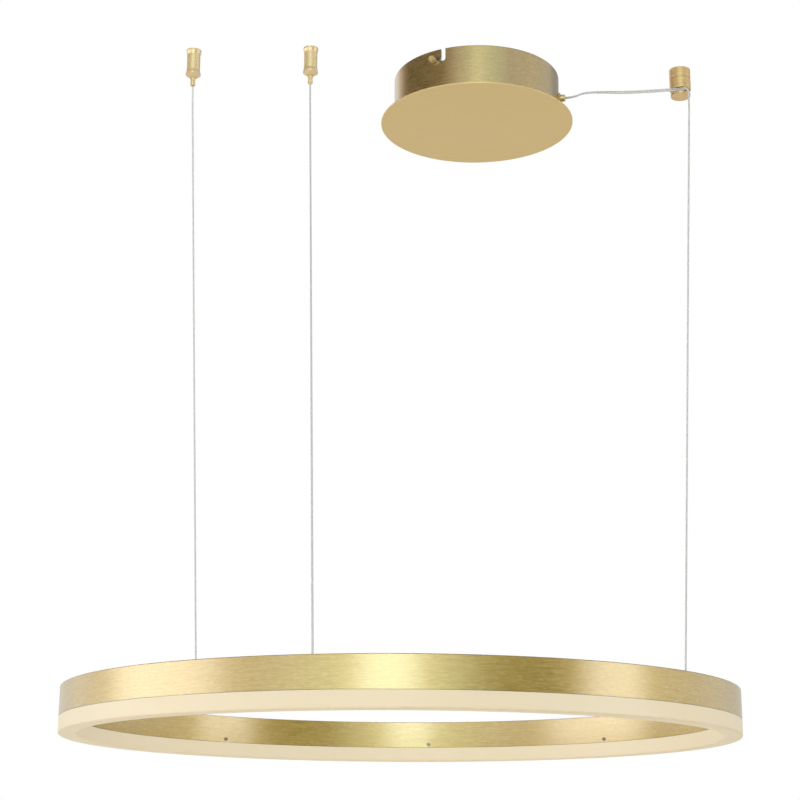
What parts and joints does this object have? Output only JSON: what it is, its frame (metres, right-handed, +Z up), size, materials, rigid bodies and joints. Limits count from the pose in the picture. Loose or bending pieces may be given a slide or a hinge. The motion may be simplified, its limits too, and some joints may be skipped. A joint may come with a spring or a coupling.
{
  "type": "LED ring pendant light",
  "caption": "Slim brushed-gold ring light with an opal underside, hung level on steel wires and its own cable, with a round ceiling canopy and separate brass ceiling fittings.",
  "frame": {"origin": "on the ceiling face, at the middle of the canopy and of its bracket", "axes": "+Z up into the ceiling, +X towards the cable holder on the viewer's right, -Y towards the viewer of the picture"},
  "size_m": [0.6, 0.6, 0.666],
  "materials": {
    "gold_hoop": "fine brushed champagne-gold anodising",
    "opal_diffuser": "satin cream-white opal",
    "strip_board": "white board",
    "led_phosphor": "yellow phosphor",
    "dark_screws": "small dark bronze screws",
    "eyelet_brass": "brushed brass",
    "ferrule_steel": "plain steel",
    "grommet_clear": "milky clear",
    "white_nylon": "white nylon",
    "core_insulation": "light grey insulation",
    "gripper_brass": "turned, satin gold",
    "steel_ball": "polished steel",
    "spring_steel": "plain steel",
    "steel_wire": "stranded steel",
    "holder_brass": "turned and brushed, satin gold",
    "zinc_steel": "zinc plated",
    "screw_brass": "satin gold",
    "canopy_gold": "satin gold lacquer",
    "disc_gold": "satin gold lacquer",
    "driver_shell": "white plastic",
    "board_green": "green board",
    "component_black": "black",
    "terminal_white": "white plastic",
    "mains_insulation": "brown insulation",
    "clear_cable": "clear cable with silvery cores"
  },
  "bodies": {
    "ceiling_fixings": {"ceiling_bracket": "zinc_steel", "earth_screw": "zinc_steel", "left_gripper_base": "gripper_brass", "left_gripper_spring": "spring_steel", "left_wire": "steel_wire", "middle_gripper_base": "gripper_brass", "middle_gripper_spring": "spring_steel", "middle_wire": "steel_wire", "holder_base": "holder_brass", "holder_barrel": "holder_brass", "power_cable_lead": "clear_cable", "power_cable_drop": "clear_cable"},
    "ring": {"ring_hoop": "gold_hoop", "diffuser": "opal_diffuser", "led_strip": "strip_board", "led_packages": "led_phosphor", "diffuser_screws": "dark_screws", "left_wire_eyelet": "eyelet_brass", "middle_wire_eyelet": "eyelet_brass", "left_wire_ferrule": "ferrule_steel", "middle_wire_ferrule": "ferrule_steel", "cable_grommet": "grommet_clear", "cable_clamp": "white_nylon", "feed_terminal": "white_nylon", "cable_cores": "core_insulation", "strip_leads": "core_insulation"},
    "canopy": {"canopy_can": "canopy_gold", "canopy_disc": "disc_gold", "disc_nuts": "zinc_steel", "driver_case": "driver_shell", "driver_lid": "driver_shell", "driver_board": "board_green", "driver_components": "component_black", "driver_screws": "zinc_steel", "terminal_block": "terminal_white", "mains_leads": "mains_insulation", "output_lead": "clear_cable", "gland_body": "screw_brass", "gland_locknut": "screw_brass"},
    "gland_nut": {"gland_cap": "screw_brass"},
    "left_sleeve": {"left_gripper_sleeve": "gripper_brass"},
    "left_plunger": {"left_gripper_plunger": "gripper_brass", "left_gripper_balls": "steel_ball"},
    "middle_sleeve": {"middle_gripper_sleeve": "gripper_brass"},
    "middle_plunger": {"middle_gripper_plunger": "gripper_brass", "middle_gripper_balls": "steel_ball"},
    "cable_holder_cap": {"holder_cap": "holder_brass"},
    "front_screw": {"front_lock_screw": "screw_brass"},
    "rear_screw": {"rear_lock_screw": "screw_brass"}
  },
  "joints": [
    {"name": "ring_height", "type": "slide", "parent": "ceiling_fixings", "child": "ring", "axis": [0, 0, 1], "range_m": [0, 0.2], "deforming": ["left_wire", "middle_wire", "power_cable_drop"]},
    {"name": "canopy_twist", "type": "hinge", "parent": "ceiling_fixings", "child": "canopy", "pos_m": [0, 0, -0.023], "axis": [0, 0, 1], "range_deg": [-7, 0]},
    {"name": "gland_nut_turn", "type": "hinge", "parent": "canopy", "child": "gland_nut", "pos_m": [0.08608, -0.0183, -0.026], "axis": [0.9781, -0.2079, 0], "continuous": true},
    {"name": "cable_holder_cap_turn", "type": "hinge", "parent": "ceiling_fixings", "child": "cable_holder_cap", "pos_m": [0.203, -0.0283, -0.024], "axis": [0, 0, 1], "continuous": true},
    {"name": "front_screw_turn", "type": "hinge", "parent": "ceiling_fixings", "child": "front_screw", "pos_m": [-0.04542, -0.07185, -0.011], "axis": [-0.5344, -0.8453, 0], "continuous": true},
    {"name": "rear_screw_turn", "type": "hinge", "parent": "ceiling_fixings", "child": "rear_screw", "pos_m": [0.04542, 0.07185, -0.011], "axis": [0.5344, 0.8453, 0], "continuous": true},
    {"name": "left_sleeve_turn", "type": "hinge", "parent": "ceiling_fixings", "child": "left_sleeve", "pos_m": [-0.2807, -0.0673, -0.013], "axis": [0, 0, 1], "continuous": true},
    {"name": "left_release_push", "type": "slide", "parent": "left_sleeve", "child": "left_plunger", "axis": [0, 0, 1], "range_m": [0, 0.0025], "stiffness_N_per_m": 800, "springref_m": -0.002, "deforming": ["left_gripper_spring"]},
    {"name": "middle_sleeve_turn", "type": "hinge", "parent": "ceiling_fixings", "child": "middle_sleeve", "pos_m": [-0.1654, -0.0733, -0.013], "axis": [0, 0, 1], "continuous": true},
    {"name": "middle_release_push", "type": "slide", "parent": "middle_sleeve", "child": "middle_plunger", "axis": [0, 0, 1], "range_m": [0, 0.0025], "stiffness_N_per_m": 800, "springref_m": -0.002, "deforming": ["middle_gripper_spring"]}
  ]
}
